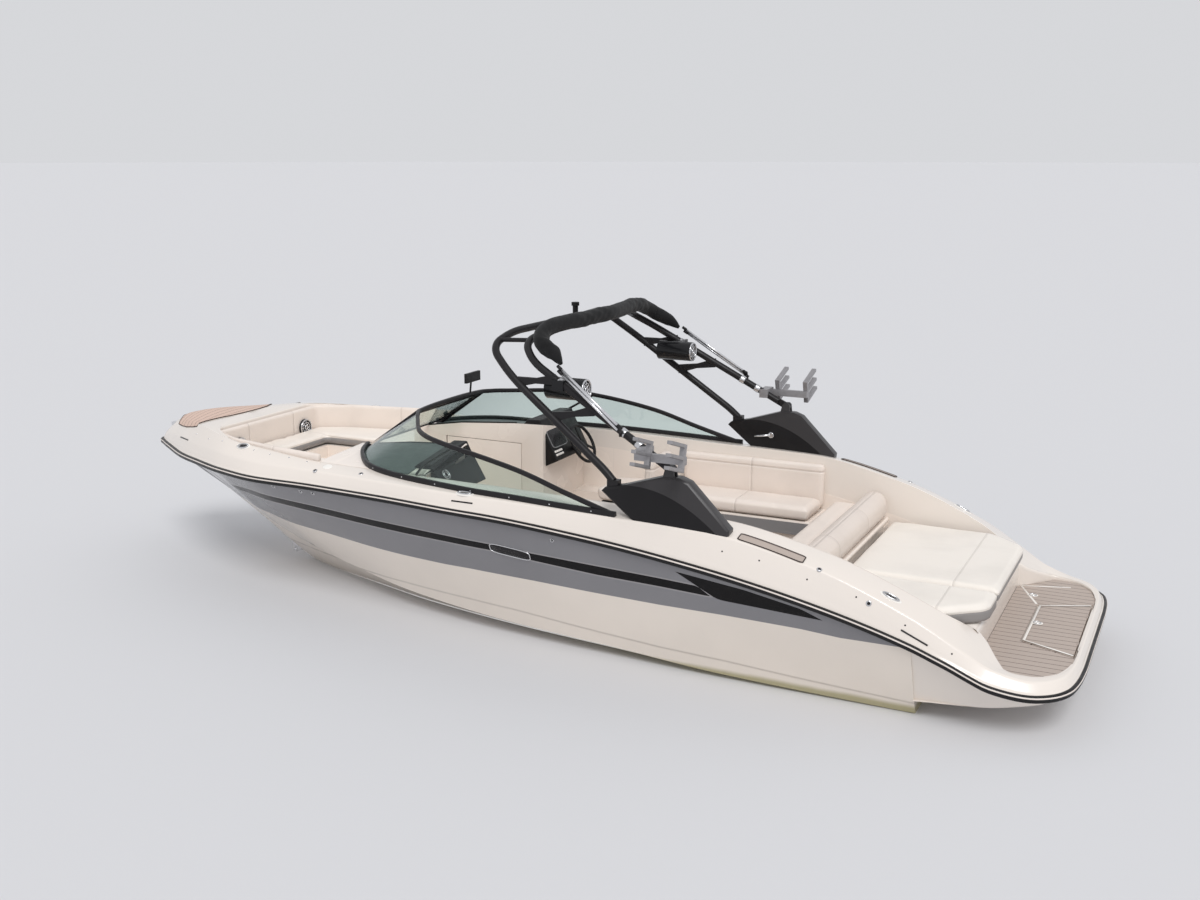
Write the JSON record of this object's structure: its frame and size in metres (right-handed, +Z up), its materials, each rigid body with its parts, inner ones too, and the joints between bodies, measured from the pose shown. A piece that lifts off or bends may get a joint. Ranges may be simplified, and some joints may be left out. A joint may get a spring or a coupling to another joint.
{
  "type": "speedboat",
  "caption": "Bowrider speedboat with a folding tow tower, a sterndrive, bow and cockpit seating, a sun pad over the engine and a swim platform.",
  "frame": {"origin": "amidships on the centre line at the waterline", "axes": "+X to the bow, +Y to port, +Z up"},
  "size_m": [9.308, 3.6414, 3.635],
  "materials": {
    "gelcoat_hull": "gel coat, grey-blue topsides over white sides and bottom",
    "gelcoat_deck": "white gel coat, glossy, with soft feature lines",
    "liner": "white gel coat of the cockpit moulding, satin",
    "rub_rail": "black rub rail with pale insert lines",
    "black_metal": "satin black powder coat",
    "black_plastic": "dark grained plastic",
    "dash": "dark padded dash with stitched edge",
    "tinted_glass": "green-tinted safety glass",
    "vinyl": "warm white seat vinyl with piping",
    "vinyl_grey": "grey seat vinyl",
    "seat_base": "moulded seat base, satin",
    "deck_mat": "grey-brown foam decking with plank lines",
    "floor_mat": "grey floor mat",
    "canvas": "black canvas boot",
    "bright_tube": "polished stainless steel",
    "aluminium": "grey anodised aluminium",
    "speaker": "gloss black can with a bright ring",
    "engine": "painted engine block",
    "drive": "dark marine paint",
    "propeller": "stainless propeller",
    "mirror": "mirror glass in a black shell"
  },
  "bodies": {
    "root": {"hull": "gelcoat_hull", "deck": "gelcoat_deck", "inner_moulding": "liner", "rub_rail": "rub_rail", "console_port": "liner", "console_starboard": "liner", "dashes": "dash", "windshield_frame": "black_metal", "windshield_glass": "tinted_glass", "seat_bases": "seat_base", "lounge_cushions": "vinyl", "lounge_backs": "vinyl", "back_roll": "vinyl", "helm_seat_post": "aluminium", "helm_seat": "vinyl", "bow_cushions": "vinyl", "bow_backs": "vinyl", "sunpad_filler": "vinyl", "platform_mat": "deck_mat", "floor_mat": "floor_mat", "tower_fairings": "black_plastic", "engine_block": "engine", "transom_shield": "drive", "cleats": "bright_tube", "bow_eye": "bright_tube", "view_mirror": "mirror", "bow_light": "bright_tube", "bow_pads": "deck_mat", "gunwale_mats": "deck_mat"},
    "head_door": {"head_door": "liner"},
    "centre_window": {"centre_window_frame": "black_metal", "centre_window_glass": "tinted_glass"},
    "steering_wheel": {"steering_wheel": "black_plastic"},
    "engine_hatch": {"engine_lid": "liner", "sunpad": "vinyl"},
    "platform_hatch": {"platform_hatch": "deck_mat"},
    "tower": {"tower_frame": "black_metal", "canopy_boot": "canvas", "canopy_arms": "bright_tube", "tower_speakers": "speaker", "board_racks": "aluminium", "masthead_light": "black_plastic"},
    "steer_yoke": {"steer_yoke": "drive"},
    "drive_leg": {"drive_leg": "drive"},
    "propeller": {"propeller": "propeller"}
  },
  "joints": [
    {"name": "tower_fold", "type": "hinge", "parent": "root", "child": "tower", "pos_m": [-1.69, 0, 1.69], "axis": [0, -1, 0], "range_deg": [0, 130]},
    {"name": "head_door_swing", "type": "hinge", "parent": "root", "child": "head_door", "pos_m": [1.37, -0.359, 0.945], "axis": [0, 0, -1], "range_deg": [0, 90]},
    {"name": "centre_window_swing", "type": "hinge", "parent": "root", "child": "centre_window", "pos_m": [1.65654, -0.546, 1.41479], "axis": [0.8342, 0, -0.5514], "range_deg": [0, 150]},
    {"name": "engine_hatch_lift", "type": "hinge", "parent": "root", "child": "engine_hatch", "pos_m": [-3.922, 0, 0.665], "axis": [0, -1, 0], "range_deg": [0, 50]},
    {"name": "platform_hatch_lift", "type": "hinge", "parent": "root", "child": "platform_hatch", "pos_m": [-4.554, 0, 0.417], "axis": [0, -1, 0], "range_deg": [0, 100]},
    {"name": "drive_steer", "type": "hinge", "parent": "root", "child": "steer_yoke", "pos_m": [-3.69, 0, -0.09], "axis": [0, 0, 1], "range_deg": [-28, 28]},
    {"name": "drive_tilt", "type": "hinge", "parent": "steer_yoke", "child": "drive_leg", "pos_m": [-3.69, 0, -0.09], "axis": [0, 1, 0], "range_deg": [0, 48]},
    {"name": "propeller_spin", "type": "hinge", "parent": "drive_leg", "child": "propeller", "pos_m": [-4.085, 0, -0.66], "axis": [1, 0, 0], "continuous": true},
    {"name": "wheel_turn", "type": "hinge", "parent": "root", "child": "steering_wheel", "pos_m": [0.12, -0.76, 1.29], "axis": [-0.8829, 0, 0.4695], "range_deg": [-650, 650]}
  ],
  "couplings": [
    {"joint": "wheel_turn", "follows": "drive_steer", "ratio": 23}
  ]
}
